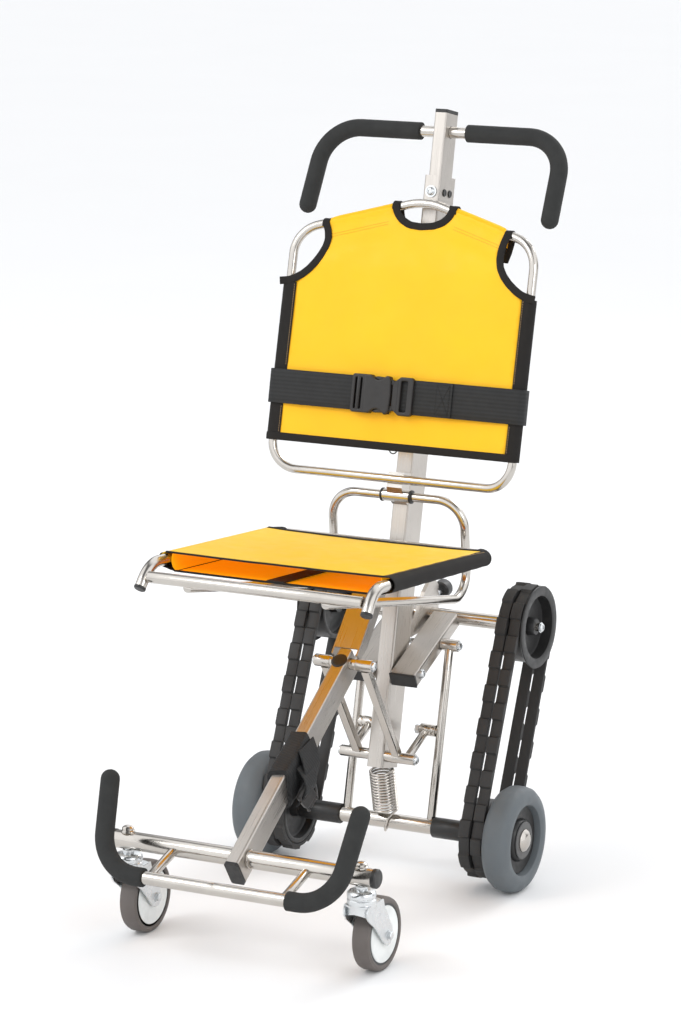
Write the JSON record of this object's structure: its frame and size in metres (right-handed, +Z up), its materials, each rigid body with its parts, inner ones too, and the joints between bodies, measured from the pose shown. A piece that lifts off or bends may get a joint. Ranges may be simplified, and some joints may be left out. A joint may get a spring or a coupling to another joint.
{
  "type": "stair chair",
  "caption": "Folding evacuation stair chair with a reclined mast, sling back and seat, cogged belt tracks at the rear, swivelling front castors and a telescopic push handle.",
  "frame": {"origin": "on the floor, under the middle of the chair's bounding box", "axes": "+Z up, -Y is the way the chair faces, +X is the sitter's left"},
  "size_m": [0.44, 0.7214, 1.0697],
  "materials": {
    "brushed_tube": "satin stainless steel, brushed lengthwise",
    "polished_tube": "polished stainless steel tube",
    "zinc": "bright zinc plate",
    "black_plastic": "fine-grained black moulding",
    "belt_rubber": "matt black moulded rubber",
    "foam": "closed-cell foam with a fine pebbled skin",
    "webbing": "ribbed nylon webbing",
    "yellow_sling": "coated vinyl cloth, satin, with black bound edges",
    "castor_tyre": "warm grey rubber tread on a grey disc",
    "rear_tyre": "blue-grey tread on a black hub"
  },
  "bodies": {
    "frame": {"arm_pivot_bolt": "zinc", "axle_spacer_left": "black_plastic", "axle_spacer_right": "black_plastic", "back_cover": "yellow_sling", "back_frame_tube": "polished_tube", "belt_buckle_socket": "black_plastic", "belt_buckle_tongue": "black_plastic", "body_belt_left": "webbing", "body_belt_right": "webbing", "handle_guide_liner": "black_plastic", "knee_channel": "brushed_tube", "knee_link_left": "polished_tube", "knee_link_right": "polished_tube", "knee_pivot_tube": "polished_tube", "latch_plate": "brushed_tube", "lower_cross_tube": "polished_tube", "mast_tube": "brushed_tube", "rear_axle_tube": "polished_tube", "rod_pivot_bolt": "zinc", "seat_hinge_bracket": "polished_tube", "short_link_left": "polished_tube", "short_link_right": "polished_tube", "stop_bolt": "polished_tube", "tension_spring": "polished_tube", "track_arm_left": "brushed_tube", "track_arm_right": "brushed_tube", "track_belt_left": "belt_rubber", "track_belt_right": "belt_rubber", "track_rod_left": "polished_tube", "track_rod_right": "polished_tube", "upper_cross_tube": "polished_tube"},
    "handle": {"handle_tube": "brushed_tube", "handle_top_cap": "black_plastic", "handle_bar": "polished_tube", "handle_grip_left": "foam", "handle_grip_right": "foam"},
    "lock_buttons": {"lock_buttons": "black_plastic"},
    "seat": {"seat_loop_tube": "polished_tube", "seat_frame_tube": "polished_tube", "seat_cover": "yellow_sling"},
    "front_leg": {"leg_tube": "brushed_tube", "leg_end_cap": "black_plastic", "ankle_strap": "webbing", "front_cross_tube": "polished_tube", "cross_tube_cap_left": "black_plastic", "cross_tube_cap_right": "black_plastic", "bumper_tube": "polished_tube", "bumper_grip_left": "foam", "bumper_grip_right": "foam"},
    "castor_fork_left": {"castor_fork_left": "zinc"},
    "castor_fork_right": {"castor_fork_right": "zinc"},
    "castor_wheel_left": {"castor_wheel_left": "castor_tyre"},
    "castor_wheel_right": {"castor_wheel_right": "castor_tyre"},
    "rear_wheel_left": {"rear_wheel_left": "rear_tyre"},
    "rear_wheel_right": {"rear_wheel_right": "rear_tyre"},
    "upper_pulley_left": {"upper_pulley_left": "black_plastic"},
    "upper_pulley_right": {"upper_pulley_right": "black_plastic"},
    "lower_pulley_left": {"lower_pulley_left": "black_plastic"},
    "lower_pulley_right": {"lower_pulley_right": "black_plastic"},
    "latch_knob": {"latch_knob": "black_plastic"}
  },
  "joints": [
    {"name": "handle_slide", "type": "slide", "parent": "frame", "child": "handle", "axis": [0, 0.2273, 0.9738], "range_m": [0, 0.26]},
    {"name": "lock_button_press", "type": "slide", "parent": "frame", "child": "lock_buttons", "axis": [-1, 0, 0], "range_m": [0, 0.0012]},
    {"name": "seat_fold", "type": "hinge", "parent": "frame", "child": "seat", "pos_m": [0, 0.18162, 0.54109], "axis": [-1, 0, 0], "range_deg": [0, 90]},
    {"name": "front_leg_fold", "type": "hinge", "parent": "frame", "child": "front_leg", "pos_m": [0, 0.0188, 0.3371], "axis": [1, 0, 0], "range_deg": [0, 35]},
    {"name": "castor_swivel_left", "type": "hinge", "parent": "front_leg", "child": "castor_fork_left", "pos_m": [0.177, -0.2725, 0.1], "axis": [0, 0, 1], "continuous": true},
    {"name": "castor_spin_left", "type": "hinge", "parent": "castor_fork_left", "child": "castor_wheel_left", "pos_m": [0.177, -0.2305, 0.05], "axis": [1, 0, 0], "continuous": true},
    {"name": "rear_wheel_spin_left", "type": "hinge", "parent": "frame", "child": "rear_wheel_left", "pos_m": [0.198, 0.147, 0.075], "axis": [1, 0, 0], "continuous": true},
    {"name": "lower_pulley_spin_left", "type": "hinge", "parent": "frame", "child": "lower_pulley_left", "pos_m": [0.1575, 0.147, 0.075], "axis": [1, 0, 0], "continuous": true},
    {"name": "upper_pulley_spin_left", "type": "hinge", "parent": "frame", "child": "upper_pulley_left", "pos_m": [0.1575, 0.27022, 0.35002], "axis": [1, 0, 0], "continuous": true},
    {"name": "castor_swivel_right", "type": "hinge", "parent": "front_leg", "child": "castor_fork_right", "pos_m": [-0.177, -0.2725, 0.1], "axis": [0, 0, 1], "continuous": true},
    {"name": "castor_spin_right", "type": "hinge", "parent": "castor_fork_right", "child": "castor_wheel_right", "pos_m": [-0.177, -0.2305, 0.05], "axis": [1, 0, 0], "continuous": true},
    {"name": "rear_wheel_spin_right", "type": "hinge", "parent": "frame", "child": "rear_wheel_right", "pos_m": [-0.198, 0.147, 0.075], "axis": [1, 0, 0], "continuous": true},
    {"name": "lower_pulley_spin_right", "type": "hinge", "parent": "frame", "child": "lower_pulley_right", "pos_m": [-0.1575, 0.147, 0.075], "axis": [1, 0, 0], "continuous": true},
    {"name": "upper_pulley_spin_right", "type": "hinge", "parent": "frame", "child": "upper_pulley_right", "pos_m": [-0.1575, 0.27022, 0.35002], "axis": [1, 0, 0], "continuous": true},
    {"name": "latch_pull", "type": "slide", "parent": "frame", "child": "latch_knob", "axis": [0, 0.9884, 0.1521], "range_m": [0, 0.008]}
  ],
  "couplings": [
    {"joint": "upper_pulley_spin_left", "follows": "lower_pulley_spin_left", "ratio": 1},
    {"joint": "upper_pulley_spin_right", "follows": "lower_pulley_spin_right", "ratio": 1}
  ]
}
